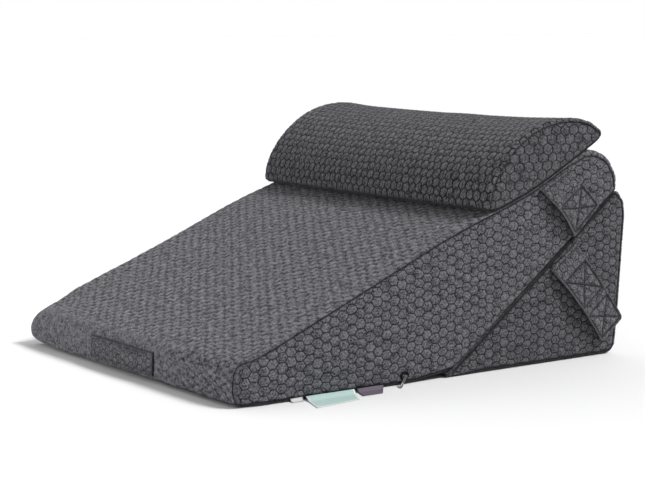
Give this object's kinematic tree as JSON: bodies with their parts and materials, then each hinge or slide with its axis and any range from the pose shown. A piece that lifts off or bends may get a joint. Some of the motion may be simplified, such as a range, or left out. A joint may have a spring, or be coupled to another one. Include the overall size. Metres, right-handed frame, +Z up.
{
  "type": "wedge pillow with head pillow",
  "caption": "Long sloping bed wedge with a second wedge tucked under its undercut back, a half-round head pillow on the slope, side straps, a pull handle and a zip.",
  "frame": {"origin": "the middle of the front wedge's flat underside, on the surface that the set rests on", "axes": "+X to the right side, which has the zip slider and the labels; +Y from the thin front edge to the tall back; +Z up"},
  "size_m": [0.6764, 0.7496, 0.3752],
  "materials": {
    "knit_cover": "charcoal heather knit with raised hexagon cells",
    "strap_knit": "the same knit, doubled and stitched",
    "zip_metal": "small dark nickel zip parts",
    "teal_cloth": "flat woven label cloth",
    "grey_cloth": "flat woven label cloth",
    "white_cloth": "thin woven label cloth"
  },
  "bodies": {
    "root": {"front_wedge": "knit_cover", "rear_wedge": "knit_cover", "head_pillow": "knit_cover", "strap_upper_right": "strap_knit", "strap_upper_left": "strap_knit", "strap_lower_right": "strap_knit", "strap_lower_left": "strap_knit", "front_handle": "strap_knit", "zip_slider": "zip_metal", "zip_puller": "zip_metal", "label_teal": "teal_cloth", "label_grey": "grey_cloth", "label_white": "white_cloth"}
  },
  "joints": []
}
